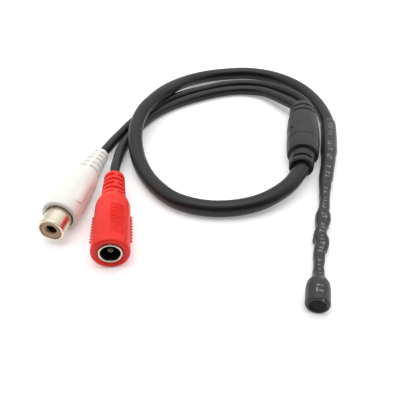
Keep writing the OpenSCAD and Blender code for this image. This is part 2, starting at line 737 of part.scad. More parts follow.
module dc_liner() {
    outer_d = dc_shell_d - 0.4 - 2 * mould_gap;
    base = dc_mouth + dc_depth;
    color([0.06, 0.06, 0.07]) at_dc() difference() {
        union() {
            bar(outer_d, dc_seat + mould_gap, dc_liner_back);
            bar(dc_shell_d, dc_mouth + 5 + mould_gap, dc_liner_back);
        }
        bar(dc_bore_d - 0.1, 0, base);
        bar(2 * (dc_root_r + mould_gap), 0, dc_liner_back + 1);
        translate([-0.9, dc_mouth + 5.5, -dc_shell_d]) cube([1.8, dc_depth, dc_shell_d]);
    }
}

module dc_pin() {
    r = dc_pin_d / 2;
    color(nickel) at_dc() union() {
        turned(concat(
            [[0, dc_mouth + 1]], corner([r - 0.5, dc_mouth + 1.5], 0.5, -90, 0),
            [[r, dc_mouth + dc_depth], [dc_root_r, dc_mouth + dc_depth], [dc_root_r, dc_liner_back + 0.5],
                [0, dc_liner_back + 0.5]]
        ));
        bar(1.2, dc_liner_back + 0.5, dc_liner_back + 3);
    }
}

module dc_spring() {
    low = -dc_bore_d / 2;
    color([0.85, 0.8, 0.6]) at_dc() rotate([0, -90, 0]) linear_extrude(1.5, center = true) polygon([
        [low + 0.2, dc_mouth + 5.8], [low + 0.7, dc_mouth + 7], [low + 0.25, dc_mouth + 8.6],
        [low + 0.1, dc_liner_back + 0.4], [low - 0.15, dc_liner_back + 0.4], [low, dc_mouth + 8.6],
        [low + 0.45, dc_mouth + 7], [low, dc_mouth + 5.9]
    ]);
}

module dc_inner_mould() {
    start = dc_liner_back + mould_gap;
    end = dc_relief_s - 1 - mould_gap;
    color([0.85, 0.85, 0.8]) at_dc() difference() {
        bar(2 * dc_mould_r, start, end);
        bar(2 * (dc_root_r + mould_gap), 0, start + 0.6);
        bar(1.2 + 2 * mould_gap, 0, dc_body_l);
        translate([0, 0, -2.2]) bar(0.9 + 2 * mould_gap, start + 0.5, dc_body_l);
        translate([-0.9, start - 1, -dc_mould_r - 1]) cube([1.8, 1.6, 2]);
    }
}

module dc_core_wires() {
    color([0.8, 0.5, 0.3]) at_dc() {
        bar(1.2, dc_liner_back + 3 + mould_gap, dc_body_l - 8);
        translate([0, 0, -2.2]) bar(0.9, dc_liner_back + 0.8, dc_relief_s - 1 - 2 * mould_gap);
    }
}

heat_shrink_sleeve();
capsule_can();
capsule_felt();
capsule_diaphragm();
capsule_spacer();
capsule_backplate();
capsule_holder();
capsule_gate_ring();
capsule_board();
capsule_transistor();
capsule_wires();
preamp_board();
preamp_transistor();
preamp_capacitors();
preamp_resistors();
cable_cores();
main_cable();
splitter_body();
splitter_splices();
rca_branch_cable();
rca_body();
rca_inner_mould();
rca_shell();
rca_insulator();
rca_contact();
rca_core_wires();
dc_branch_cable();
dc_body();
dc_inner_mould();
dc_shell();
dc_liner();
dc_pin();
dc_spring();
dc_core_wires();
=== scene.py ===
import bpy
import bmesh
import json
import math
from bisect import bisect_right
from mathutils import Matrix, Vector, noise
from mathutils.geometry import interpolate_bezier


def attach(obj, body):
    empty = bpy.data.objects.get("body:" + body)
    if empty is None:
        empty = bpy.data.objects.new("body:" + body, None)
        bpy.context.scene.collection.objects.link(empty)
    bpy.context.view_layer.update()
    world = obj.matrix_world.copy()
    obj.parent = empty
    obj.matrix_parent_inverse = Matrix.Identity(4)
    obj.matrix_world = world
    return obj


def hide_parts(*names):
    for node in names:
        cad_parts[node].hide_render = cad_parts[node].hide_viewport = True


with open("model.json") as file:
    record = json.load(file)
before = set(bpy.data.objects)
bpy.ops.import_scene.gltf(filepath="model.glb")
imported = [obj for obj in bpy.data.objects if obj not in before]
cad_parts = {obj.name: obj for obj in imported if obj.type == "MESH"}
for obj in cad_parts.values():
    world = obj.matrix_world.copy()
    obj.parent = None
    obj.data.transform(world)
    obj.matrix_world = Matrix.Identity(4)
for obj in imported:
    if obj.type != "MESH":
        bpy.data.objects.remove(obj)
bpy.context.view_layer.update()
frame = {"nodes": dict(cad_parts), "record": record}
mm = 0.001  # pieces are drawn in millimetres and scaled once, when they are placed
print("frame loaded")


# Camera: it looks along +Y and down at the table
camera = {"place": (-41.7, -119.36, 99.3), "pitch": 39.5, "sensor": 36.0, "lens": 41.04}


def setCamera():
    data = bpy.data.cameras.new("camera")
    data.sensor_width = camera["sensor"]
    data.lens = camera["lens"]
    data.clip_start, data.clip_end = 0.005, 20
    eye = bpy.data.objects.new("camera", data)
    eye.location = Vector(camera["place"]) * mm
    eye.rotation_euler = (math.radians(90 - camera["pitch"]), 0, 0)
    bpy.context.scene.collection.objects.link(eye)
    bpy.context.scene.camera = eye


setCamera()
print("camera set")


# Small maths
def smooth(low, high, value):
    t = min(1.0, max(0.0, (value - low) / (high - low)))
    return t * t * (3 - 2 * t)


def band(value, centre, half, soft):  # 1 inside centre +- half, fading over soft
    return 1 - smooth(half - soft / 2, half + soft / 2, abs(value - centre))


def blendTable(table, at):  # smooth reading of a list of [position, value, value, ...]
    if at <= table[0][0]:
        return table[0][1:]
    for low, high in zip(table, table[1:]):
        if at <= high[0]:
            t = smooth(low[0], high[0], at)
            return [a + (b - a) * t for a, b in zip(low[1:], high[1:])]
    return table[-1][1:]


def ripple(point, size, seed=0.0):  # smooth noise from -1 to 1 with features of that size
    return noise.noise(Vector(point) / size + Vector((seed, 1.7 * seed, 0.3)))


def arc(centre, radius, first, last, count):  # profile points round a centre, angles in degrees
    turns = [math.radians(first + (last - first) * i / count) for i in range(count + 1)]
    return [(centre[0] + radius * math.cos(turn), centre[1] + radius * math.sin(turn)) for turn in turns]


# Making meshes: a piece is turned about Y from a profile, shaped, then placed or bent along a route
def turned(profile, around, along):  # steps of the turn, and the longest step along the profile
    mesh = bmesh.new()
    corners = [mesh.verts.new((spot[0], spot[1], 0)) for spot in profile]
    for pair in zip(corners, corners[1:]):
        mesh.edges.new(pair)
    for corner, spot in zip(corners, profile):
        if len(spot) > 2:
            bmesh.ops.bevel(mesh, geom=[corner], offset=spot[2], offset_type="OFFSET", segments=5,
                            profile=0.5, affect="VERTICES", clamp_overlap=True, material=-1)
    for edge in mesh.edges[:]:
        cuts = int(edge.calc_length() / along)
        if cuts:
            bmesh.ops.subdivide_edges(mesh, edges=[edge], cuts=cuts)
    bmesh.ops.spin(mesh, geom=mesh.verts[:] + mesh.edges[:], cent=(0, 0, 0), axis=(0, 1, 0),
                   angle=2 * math.pi, steps=around, use_merge=True)
    bmesh.ops.remove_doubles(mesh, verts=mesh.verts[:], dist=1e-5)
    bmesh.ops.recalc_face_normals(mesh, faces=mesh.faces[:])
    return mesh


def shaped(mesh, form):  # form gives each point's new place
    for vert in mesh.verts:
        vert.co = form(vert.co.copy())
    return mesh


def noteStraight(mesh):  # keeps the places before a bend, for patterns that follow the surface
    layer = mesh.verts.layers.float_vector.new("straight")
    for vert in mesh.verts:
        vert[layer] = vert.co


class Route:
    def __init__(self, points, cuts=8):
        points = [Vector(p) for p in points]
        last = len(points) - 1
        ways = [(points[min(i + 1, last)] - points[max(i - 1, 0)]).normalized() for i in range(last + 1)]
        self.line = []
        for i in range(last):
            pull = (points[i + 1] - points[i]).length / 3
            stretch = interpolate_bezier(points[i], points[i] + ways[i] * pull,
                                         points[i + 1] - ways[i + 1] * pull, points[i + 1], cuts + 1)
            self.line += stretch[:-1]
        self.line.append(points[-1])
        self.marks = [0.0]
        for a, b in zip(self.line, self.line[1:]):
            self.marks.append(self.marks[-1] + (b - a).length)
        self.length = self.marks[-1]

    def at(self, s):
        i = min(max(bisect_right(self.marks, s) - 1, 0), len(self.line) - 2)
        a, b = self.line[i], self.line[i + 1]
        share = (s - self.marks[i]) / (self.marks[i + 1] - self.marks[i])
        before = (self.line[i] - self.line[max(i - 1, 0)]).normalized()
        after = (self.line[min(i + 2, len(self.line) - 1)] - b).normalized()
        here = (b - a).normalized()
        way = (here + before).lerp(here + after, min(max(share, 0.0), 1.0)).normalized()
        return a + (b - a) * share, way

    def nearest(self, point):
        return self.marks[min(range(len(self.line)), key=lambda i: (self.line[i] - point).length)]


def bentOnto(mesh, route):
    def form(co):
        point, way = route.at(co.y)
        side = way.cross(Vector((0, 0, 1))).normalized()
        return point + side * co.x + side.cross(way) * co.z
    return shaped(mesh, form)


def placed(mesh, matrix):
    bmesh.ops.transform(mesh, matrix=Matrix.Scale(mm, 4) @ matrix, verts=mesh.verts[:])
    return mesh


def makePiece(name, mesh, finish, nodes, crease=40):  # crease: from this angle an edge stays sharp
    data = bpy.data.meshes.new(name)
    for face in mesh.faces:
        face.smooth = True
    mesh.to_mesh(data)
    mesh.free()
    data.set_sharp_from_angle(angle=math.radians(crease))
    data.materials.append(finish)
    piece = bpy.data.objects.new(name, data)
    bpy.context.scene.collection.objects.link(piece)
    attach(piece, "root")
    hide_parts(*nodes)
    return piece


def turnedPiece(name, profile, steps, place, finish, nodes, form=None):
    mesh = turned(profile, *steps)
    noteStraight(mesh)
    if form:
        shaped(mesh, form)
    return makePiece(name, placed(mesh, place), finish, nodes)


def seat(at, height, tilt, turn):  # a moulding's own frame: mouth at the origin, cable at +Y
    place = Matrix.Translation((at[0], at[1], height))
    return place @ Matrix.Rotation(math.radians(turn), 4, "Z") @ Matrix.Rotation(math.radians(tilt), 4, "X")


# Materials: a wire wraps a node's socket, so that shader maths is written as plain expressions
class Wire:
    def __init__(self, graph, socket):
        self.graph, self.socket = graph, socket

    def maths(self, operation, first, second=0.0):
        return self.graph.make("ShaderNodeMath", {"operation": operation}, {0: first, 1: second})

    def __add__(self, other):
        return self.maths("ADD", self, other)

    def __sub__(self, other):
        return self.maths("SUBTRACT", self, other)

    def __rsub__(self, other):
        return self.maths("SUBTRACT", other, self)

    def __mul__(self, other):
        return self.maths("MULTIPLY", self, other)

    def __truediv__(self, other):
        return self.maths("DIVIDE", self, other)

    def __rtruediv__(self, other):
        return self.maths("DIVIDE", other, self)

    def __lt__(self, other):
        return self.maths("LESS_THAN", self, other)

    def __gt__(self, other):
        return self.maths("GREATER_THAN", self, other)

    def __abs__(self):
        return self.maths("ABSOLUTE", self)

    __radd__ = __add__
    __rmul__ = __mul__


class Graph:
    def __init__(self, tree):
        self.tree = tree
        tree.nodes.clear()

    def make(self, kind, settings=None, inputs=None, out=0):
        node = self.tree.nodes.new(kind)
        for key, value in (settings or {}).items():
            if key == "stops":
                ramp = node.color_ramp.elements
                for i, (spot, colour) in enumerate(value):
                    stop = ramp[i] if i < len(ramp) else ramp.new(spot)
                    stop.position, stop.color = spot, (*colour, 1)
            else:
                setattr(node, key, value)
        for key, value in (inputs or {}).items():
            if isinstance(value, Wire):
                self.tree.links.new(value.socket, node.inputs[key])
            else:
                node.inputs[key].default_value = value
        return Wire(self, node.outputs[out])

    def outputs(self, kind, inputs=None, names=(0, 1, 2)):
        node = self.make(kind, {}, inputs).socket.node
        return [Wire(self, node.outputs[name]) for name in names]

    def end(self, kind, wire):
        self.tree.links.new(wire.socket, self.tree.nodes.new(kind).inputs[0])


class Finish(Graph):
    def __init__(self, name, follow=False, **constants):
        self.material = bpy.data.materials.new(name)
        self.material.use_nodes = True
        super().__init__(self.material.node_tree)
        surface = self.make("ShaderNodeBsdfPrincipled")
        self.shader = surface.socket.node
        self.end("ShaderNodeOutputMaterial", surface)
        for socket, value in constants.items():
            self.shader.inputs[socket.replace("_", " ")].default_value = value
        if follow:
            self.place = self.make("ShaderNodeAttribute", {"attribute_name": "straight"}, out="Vector")
        else:
            corner = self.make("ShaderNodeTexCoord", out="Object")
            self.place = self.make("ShaderNodeMapping", {}, {"Vector": corner, "Scale": (1000, 1000, 1000)})

    def stretch(self, x, y, z):
        return self.make("ShaderNodeVectorMath", {"operation": "MULTIPLY"}, {0: self.place, 1: (x, y, z)})

    def grain(self, scale, detail=3.0, at=None):
        inputs = {"Vector": at or self.place, "Scale": scale, "Detail": detail}
        return self.make("ShaderNodeTexNoise", {}, inputs)

    def between(self, value, low, high, first=0.0, last=1.0):
        return self.make("ShaderNodeMapRange", {}, {0: value, 1: low, 2: high, 3: first, 4: last})

    def mixed(self, share, first, second):
        inputs = {0: share, 6: first if isinstance(first, Wire) else (*first, 1),
                  7: second if isinstance(second, Wire) else (*second, 1)}
        return self.make("ShaderNodeMix", {"data_type": "RGBA"}, inputs, out=2)

    def relief(self, height, depth):  # depth in millimetres
        return self.make("ShaderNodeBump", {}, {"Height": height, "Distance": depth * mm})

    def feed(self, **sockets):
        for socket, wire in sockets.items():
            self.tree.links.new(wire.socket, self.shader.inputs[socket.replace("_", " ")])
        return self.material


def cableFinish(name, look):
    rough = look["roughness"]
    finish = Finish(name, follow=True, Roughness=rough, Specular_IOR_Level=look["shine"])
    streaks = finish.grain(1.0, 4, at=finish.stretch(7, 0.22, 7))  # drawn out along the cable
    tone = finish.mixed(finish.grain(0.16, 2), look["dark"], look["light"])
    specks = finish.between(finish.grain(3.2, 1), 0.70, 0.78)
    return finish.feed(
        Base_Color=finish.mixed(specks * look["specks"], tone, look["dust"]),
        Roughness=finish.between(streaks, 0.3, 0.7, rough - 0.07, rough + 0.1),
        Normal=finish.relief(streaks + finish.grain(2.6, 2) * 0.5, look["streak"]),
    )


def mouldedFinish(name, look, follow=True):
    rough, shine = look["roughness"], look.get("shine", 0.4)
    finish = Finish(name, follow=follow, Roughness=rough, Specular_IOR_Level=shine)
    flow = finish.grain(0.22, 3, at=finish.stretch(1, 0.45, 1))  # slow clouds from the moulding
    tone = finish.mixed(finish.between(flow, 0.35, 0.65), look["dark"], look["light"])
    specks = finish.between(finish.grain(2.3, 2), 0.72, 0.80)
    return finish.feed(
        Base_Color=finish.mixed(specks * look["specks"], tone, look["dust"]),
        Roughness=finish.between(finish.grain(0.7), 0.3, 0.7, rough - 0.06, rough + 0.08),
        Normal=finish.relief(finish.grain(look["peel"]), look["depth"]),
    )


def metalFinish(name, look, follow=True):
    rough = look["roughness"]
    finish = Finish(name, follow=follow, Metallic=1.0, Roughness=rough)
    lines = finish.grain(1.0, 3, at=finish.stretch(0.15, 14, 0.15))  # fine turning marks round the axis
    stain = finish.between(finish.grain(0.7), 0.45, 0.75)
    return finish.feed(
        Base_Color=finish.mixed(stain * look["tarnish"], look["bright"], look["dull"]),
        Roughness=finish.between(lines, 0.3, 0.7, rough * 0.75, rough * 1.3),
        Normal=finish.relief(lines, look["turning"]),
    )


# Studio: a white table in a room whose ceiling glows; the side behind the camera is dark
studio = {
    "level": 3.1, "front": (-0.52, -0.24), "frontDark": 0.05,
    "sky": [  # height of a direction, and how much it glows
        (0.0, 0.225), (0.39, 0.265), (0.669, 0.36), (0.848, 0.5), (0.951, 0.72), (0.985, 0.9), (1.0, 1.0),
    ],
    "tableHalf": 3, "tableDrop": 0.02, "tableColour": 0.9, "tableLift": 0.28,
}


def setStudio():
    scene = bpy.context.scene
    scene.view_settings.view_transform = "Standard"
    scene.world = bpy.data.worlds.new("room")
    scene.world.use_nodes = True
    room = Graph(scene.world.node_tree)
    way = room.make("ShaderNodeTexCoord", out="Generated")
    depth, height = room.outputs("ShaderNodeSeparateXYZ", {0: way}, ("Y", "Z"))
    stops = [(spot, (glow,) * 3) for spot, glow in studio["sky"]]
    sky = room.make("ShaderNodeValToRGB", {"stops": stops}, {0: height})
    low, high = studio["front"]
    front = room.make("ShaderNodeMapRange", {"interpolation_type": "SMOOTHSTEP"},
                      {0: depth, 1: low, 2: high, 3: studio["frontDark"], 4: 1.0})
    lit = room.make("ShaderNodeBackground", {}, {"Color": sky, "Strength": front * studio["level"]})
    seen = room.make("ShaderNodeBackground", {}, {"Color": (1, 1, 1, 1), "Strength": 1.0})
    cameraRay = room.make("ShaderNodeLightPath", out="Is Camera Ray")
    room.end("ShaderNodeOutputWorld", room.make("ShaderNodeMixShader", {}, {0: cameraRay, 1: lit, 2: seen}))


def setTable():
    mesh = bmesh.new()
    bmesh.ops.create_grid(mesh, x_segments=1, y_segments=1, size=studio["tableHalf"])
    bmesh.ops.translate(mesh, verts=mesh.verts[:], vec=(0, 0, -studio["tableDrop"] * mm))
    data = bpy.data.meshes.new("table")
    mesh.to_mesh(data)
    mesh.free()
    finish = Finish("tableWhite", Roughness=0.9, Specular_IOR_Level=0.1)
    finish.shader.inputs["Base Color"].default_value = (studio["tableColour"],) * 3 + (1,)
    finish.shader.inputs["Emission Color"].default_value = (1, 1, 1, 1)
    direct, glossy, through = finish.outputs(
        "ShaderNodeLightPath", names=("Is Camera Ray", "Is Glossy Ray", "Is Transmission Ray"))
    data.materials.append(finish.feed(Emission_Strength=(direct + glossy + through) * studio["tableLift"]))
    table = bpy.data.objects.new("table", data)
    bpy.context.scene.collection.objects.link(table)


setStudio()
setTable()
print("studio set")


# Seats of the mouldings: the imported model's driving sizes, but for the red body's roll and slimmer relief
splitter = {"at": (-5.8, 12.7), "turn": -10.3, "length": 44, "height": 9.8}
phono = {
    "at": (-86.2, -20.6), "turn": -9.6, "roll": 15, "barrel": 8.1, "barrelLength": 6.5, "front": 11.6,
    "shoulder": 11.1, "length": 45.5, "neck": 7.6, "tail": 5.8, "relief": 12.5, "insulator": 6.7, "bore": 3.3,
    "nose": 0.8, "reach": 10.5,
}
power = {
    "at": (-67.0, -30.0), "turn": 6.4, "roll": 19, "front": 11.4, "shoulder": 11, "length": 37.3, "neck": 7.9,
    "tail": 6.9, "relief": 10, "slope": (21.6, 24.6), "shell": 6.4, "bead": 0.33, "pin": 2.1, "depth": 10.1,
    "back": 13.1, "nose": 1.7, "reach": 5.3,
}


def lieOn(socket, start):  # tilt and height of a tapered body that lies on its taper
    shoulder = socket["length"] - socket["relief"] - socket["reach"]
    tilt = -math.atan((socket["front"] - socket["shoulder"]) / 2 / (shoulder - start))
    height = socket["front"] / 2 * math.cos(tilt) - start * math.sin(tilt)
    return math.degrees(tilt), height


phonoSeat = lieOn(phono, phono["barrelLength"] + phono["nose"])
powerSeat = lieOn(power, power["nose"])
splitterFrame = seat(splitter["at"], splitter["height"] / 2, 0, splitter["turn"])
phonoFrame = seat(phono["at"], phonoSeat[1], phonoSeat[0], phono["turn"])
powerFrame = seat(power["at"], powerSeat[1], powerSeat[0], power["turn"])
capsule = {"at": (-11.3, -45.8), "height": 3.277, "turn": -12.5, "length": 5.0, "radius": 3.318}
capsuleFrame = seat(capsule["at"], capsule["height"], 0, capsule["turn"])

# Cords: the routes' points in millimetres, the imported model's own or within about 2 mm of them
mainCord = {
    "diameter": 5.4, "far": "fitting", "ring": 1.3, "full": 1.03, "thin": 0,
    "points": [
        (-7.6, 9.1, 4.8), (-10.4, 4.8, 4.5), (-14.0, 1.0, 4.1), (-20.2, -3.4, 3.5), (-27.4, -6.0, 3),
        (-35.7, -6.8, 2.7), (-43.6, -5.5, 2.7), (-50.9, -1.7, 2.7), (-57.0, 5.1, 2.7), (-61.7, 13.4, 2.8),
        (-65.0, 22.5, 3.7), (-66.8, 32.3, 5.5), (-66.7, 41.8, 7), (-64.8, 51.2, 7.7), (-61.9, 59.3, 7.5),
        (-58.2, 67.5, 7.1), (-53.0, 78.5, 5.2), (-45.4, 88.8, 3.4), (-36.5, 94.7, 2.7), (-26.7, 97.0, 2.7),
        (-17.1, 97.5, 2.7), (-7.7, 94.3, 2.7), (0.5, 87.7, 2.7), (6.4, 78.7, 2.7), (9.7, 68.7, 2.8),
        (11.3, 58.5, 2.9),
    ],
}
phonoCord = {
    "diameter": 3.8, "far": "connector", "ring": 1.0, "full": 1.03, "thin": 0.05,
    "points": [
        (4.1, 63.4, 4.9), (2.3, 67.2, 4.9), (0.0, 71.0, 4.7), (-4.1, 76.8, 4), (-8.9, 82.3, 3.1),
        (-15.4, 86.1, 2.3), (-22.8, 87.2, 1.9), (-31.7, 85.1, 1.9), (-40.5, 80.9, 1.9), (-48.5, 76.5, 1.9),
        (-56.1, 70.7, 1.9), (-62.2, 63.3, 1.9), (-66.9, 56.2, 1.9), (-70.4, 49.5, 1.9), (-73.3, 42.0, 2.0),
        (-75.8, 33.5, 2.9),
    ],
}
powerCord = {
    "diameter": 4.2, "far": "connector", "ring": 1.0, "full": 1.0, "thin": 0.2,
    "points": [
        (-1.5, 61.1, 4.7), (-3.8, 65.1, 4.3), (-7.4, 70.7, 3.7), (-11.9, 76.3, 3), (-17.3, 79.3, 2.4),
        (-24.3, 80.1, 2.1), (-32.6, 78.0, 2.1), (-40.4, 74.4, 2.1), (-48.0, 69.8, 2.1), (-55.2, 64.1, 2.1),
        (-61.1, 57.4, 2.1), (-65.5, 49.8, 2.1), (-68.7, 41.4, 2.1), (-70.8, 34.0, 2.4), (-71.8, 26.2, 3.2),
        (-71.9, 19.4, 4.2),
    ],
}
lap = {"points": [(7.4, 26.9), (9.0, 34.1), (10.3, 40.5), (11.3, 46.1)], "height": 3.062, "radius": 3.1}
branchSpan = phonoCord["diameter"] + powerCord["diameter"] + 1  # they leave the splitter 1 mm apart
phonoCord["off"] = (branchSpan - phonoCord["diameter"]) / 2
powerCord["off"] = -(branchSpan - powerCord["diameter"]) / 2

black = {"dark": (0.007, 0.007, 0.0075), "light": (0.013, 0.013, 0.014), "dust": (0.06, 0.06, 0.066),
         "specks": 0.35, "roughness": 0.34, "streak": 0.014, "shine": 0.38}
cableBlack = cableFinish("cableBlack", black)

# the sheath is a touch out of round, and thins between two distances from the end that a socket holds
sheath = {"around": 40, "edge": 0.2, "uneven": 0.012, "wave": 9, "thinFrom": 24, "thinTo": 4, "rest": 0.99}

# how far the cable pulls the phono socket's strain relief aside: place, then x, y and z
flexTable = [[20, 0, 0, 0], [30, 0.3, 0, -0.05], [36, 0.5, -0.2, -0.25], [41, 0.5, -0.9, -0.5],
             [45.5, 0.45, -1.5, -0.8], [49, 0.9, -1.5, -1.2]]


def phonoFlex(co):
    return co + Vector(blendTable(flexTable, co.y))


def makeCord(name, cord, start, end, node):
    route = Route(start + cord["points"] + end)
    radius, length, edge = cord["diameter"] / 2, route.length, sheath["edge"]
    profile = [(0, 0), (radius, 0, edge), (radius, length, edge), (0, length)]
    mesh = turned(profile, sheath["around"], cord["ring"])
    noteStraight(mesh)

    def uneven(co):
        swell = cord["full"] + sheath["uneven"] * ripple(co, sheath["wave"], cord["diameter"])
        swell -= cord["thin"] * smooth(length - sheath["thinFrom"], length - sheath["thinTo"], co.y)
        return Vector((co.x * swell, co.y, co.z * swell))
    lift = radius * (cord["full"] - sheath["rest"])
    placed(bentOnto(shaped(mesh, uneven), route), Matrix.Translation((0, 0, lift)))
    return makePiece(name, mesh, cableBlack, [node]), route


lapPoints = [Vector((x, y, lap["height"])) for x, y in lap["points"]]
mainCable, mainRoute = makeCord(
    "mainCable", mainCord, [splitterFrame @ Vector((0, 0, 0)), splitterFrame @ Vector((0, -1.2, 0))],
    lapPoints[::-1], "main_cable")
phonoCable, phonoRoute = makeCord(
    "phonoCable", phonoCord,
    [splitterFrame @ Vector((phonoCord["off"], splitter["length"] + step, 0)) for step in (0, 3)],
    [phonoFrame @ phonoFlex(Vector((0, phono["length"] + step, 0))) for step in (3, 0)], "rca_branch_cable")
powerCable, powerRoute = makeCord(
    "powerCable", powerCord,
    [splitterFrame @ Vector((powerCord["off"], splitter["length"] + step, 0)) for step in (0, 1.5)],
    [powerFrame @ Vector((0, power["length"] + step, 0)) for step in (5, 0)], "dc_branch_cable")
print("cords made", round(mainRoute.length, 1), round(phonoRoute.length, 1), round(powerRoute.length, 1))


def declareCord(piece, route, cord, backwards):
    path = [point * mm for point in (route.line[::-1] if backwards else route.line)]
    cord["diameter"] * mm


# Splitter: oval shell with a strain relief at each end
splitterLook = {"dark": (0.017, 0.017, 0.017), "light": (0.026, 0.026, 0.025), "dust": (0.09, 0.09, 0.09),
                "specks": 0.3, "roughness": 0.46, "peel": 4.0, "depth": 0.014, "shine": 0.4}
splitterForm = {
    "steps": (144, 0.15), "blank": 6.4, "skin": 3.95, "mouth": 3.3, "mouthDeep": 2.2,
    # grooves: place along the shell, half width and depth
    "gap": (7.05, 0.8, 1.25), "slot": (2.88, 0.5, 0.85), "seamGroove": (16.65, 0.14, 0.3),
    "collars": (35.75, 39.6), "collar": (0.52, 0.8), "flanks": (1.3, 4.9), "flank": (0.42, 0.9),
    "seam": 16.45, "seamStep": 0.09, "notch": (-5.0, 22.3), "notchHalf": (0.3, 0.7), "notchDeep": 0.7,
    # the branches' end is flattened on its upper sides: lean in degrees, share of the width, and where
    "facet": (62, 0.955), "facetSpan": (31, 35, 41.5, 43),
    # place along the shell, then half width, and half height above and below
    "outline": [
        [0, 4.1, 4.1, 4.0], [0.6, 4.35, 4.35, 4.25], [6.2, 4.65, 4.6, 4.5], [7.8, 5.45, 5.2, 4.65],
        [8.6, 5.65, 5.3, 4.75], [12, 5.95, 5.4, 4.82], [18, 6.25, 5.5, 4.86], [25, 6.32, 5.5, 4.86],
        [31, 6.08, 5.4, 4.84], [36.4, 5.62, 5.2, 4.8], [40, 5.35, 5.05, 4.75], [43.4, 5.05, 4.8, 4.65],
        [44, 4.75, 4.6, 4.5],
    ],
    "drift": [[0, 0], [3, 0.1], [8, 0.5], [20, 0.6], [34, 0.3], [44, 0]],
}


def splitterCuts(s, across, up, side):  # depth of the grooves; side is the skin's place to the side
    form = splitterForm
    centre, half, deep = form["seamGroove"]
    cut = deep * band(s, centre, half, 0.1)
    centre, half, deep = form["gap"]
    cut += deep * band(s, centre, half, 0.12)
    centre, half, deep = form["slot"]
    cut += deep * band(s, centre, half, 0.14) * smooth(0.66, 0.74, abs(up))
    half, deep = form["collar"]
    for centre in form["collars"]:
        cut += deep * band(s, centre, half, 0.14) * smooth(0.58, 0.66, abs(up))
    half, deep = form["flank"]
    for centre in form["flanks"]:
        cut += deep * band(s, centre, half, 0.14) * smooth(0.88, 0.93, abs(across))
    if up > 0:
        notchAt, centre = form["notch"]
        notchHalf, half = form["notchHalf"]
        beside = band(side - cut * across, notchAt, notchHalf, 0.2)
        cut += form["notchDeep"] * band(s, centre, half, 0.2) * beside
    return cut


def splitterShape(co):
    form = splitterForm
    radius = math.hypot(co.x, co.z)
    s = co.y
    aside = blendTable(form["drift"], s)[0]
    if radius < form["skin"]:  # the mouth that the cable leaves by
        return co + Vector((aside, 0, 0))
    angle = math.atan2(co.x, co.z)
    across, up = math.sin(angle), math.cos(angle)
    wide, above, below = blendTable(form["outline"], s)
    new = 1 / math.hypot(across / wide, up / (above if up > 0 else below))
    lean, share = form["facet"]
    flat = share * wide / max(0.3, math.cos(abs(angle) - math.radians(lean)))
    start, full, fade, stop = form["facetSpan"]
    new -= max(0.0, new - flat) * smooth(start, full, s) * (1 - smooth(fade, stop, s))
    new += form["seamStep"] * (1 - smooth(form["seam"] - 0.12, form["seam"] + 0.12, s)) * smooth(7, 8, s)
    new -= splitterCuts(s, across, up, new * across)
    scale = new * radius / form["blank"]
    return Vector((across * scale + aside, s, up * scale))


def makeSplitter():
    blank, mouth, deep = splitterForm["blank"], splitterForm["mouth"], splitterForm["mouthDeep"]
    cable, end = mainCord["diameter"] / 2 + 0.15, splitter["length"]
    profile = [(0, deep), (cable, deep), (mouth, 0, 0.15), (blank, 0, 0.5), (blank, end, 0.5), (0, end)]
    return turnedPiece("splitterShell", profile, splitterForm["steps"], splitterFrame,
                       mouldedFinish("splitterBlack", splitterLook), ["splitter_body"],
                       splitterShape)


splitterShell = makeSplitter()
print("splitter made")


# Phono socket
whiteLook = {"dark": (0.88, 0.875, 0.82), "light": (0.93, 0.925, 0.865), "dust": (0.66, 0.62, 0.55),
             "specks": 0.25, "roughness": 0.36, "peel": 3.4, "depth": 0.006}
nickelLook = {"bright": (0.79, 0.715, 0.58), "dull": (0.64, 0.55, 0.42), "tarnish": 0.4, "roughness": 0.27,
              "turning": 0.0005}
brassLook = {"bright": (0.82, 0.62, 0.34), "dull": (0.5, 0.33, 0.17), "tarnish": 0.6, "roughness": 0.26,
             "turning": 0.001}
tanLook = {"dark": (0.50, 0.315, 0.20), "light": (0.62, 0.41, 0.28), "dust": (0.70, 0.54, 0.40),
           "specks": 0.6, "roughness": 0.5, "peel": 6, "depth": 0.012}
whitePvc = mouldedFinish("whitePvc", whiteLook)
nickelPlate = metalFinish("nickelPlate", nickelLook)
brassPlate = metalFinish("brassPlate", brassLook)
tanBoard = mouldedFinish("tanBoard", tanLook)
phonoForm = {
    "bodySteps": (180, 0.17), "ringSteps": (96, 0.7), "contactSteps": (64, 0.7),
    "grooves": 5, "first": 3.5, "pitch": 3.1, "half": 0.55, "deep": 0.46, "deeper": 0.03, "spine": 0.75,
    # finger pads: place round the body and half width in degrees, depth or height, and the span along it
    "flank": (8, 22, 0.2), "flankSpan": (10.6, 20.5, 24.5), "flankBow": 1.6,
    "fin": (-14, 1.6, 0.55), "finSpan": (11.4, 12.8, 19, 22),
    "tongue": [(10.9, 35), (20.5, 42)], "tongueRound": 1.6, "tongueHigh": 0.32, "tongueFade": (1.2, 3.6, 15),
}
phonoInside = {"root": 7, "rootStep": 0.25, "sunk": 1.5, "mould": 3.44, "mouldEnd": 3, "grip": 8,
               "squeeze": 0.15, "wall": 0.8, "lip": 0.45, "seatDeep": 1.1, "tag": 0.8, "tagBack": 2.4}


def phonoTongue(s, angle, radius):  # height of the raised pad with a crisp edge
    first, last = phonoForm["tongue"]
    if not first[0] - 1 < s < last[0]:
        return 0.0
    share = (s - first[0]) / (last[0] - first[0])
    within = math.radians(angle - first[1] - (last[1] - first[1]) * share) * radius
    corner = phonoForm["tongueRound"]
    edge = corner - math.hypot(max(0.0, corner - within), max(0.0, corner - s + first[0]))
    fade, gone, end = phonoForm["tongueFade"]
    high = smooth(-0.08, 0.12, edge) * (1 - smooth(fade, gone, within)) * (1 - smooth(end, last[0], s))
    return phonoForm["tongueHigh"] * high


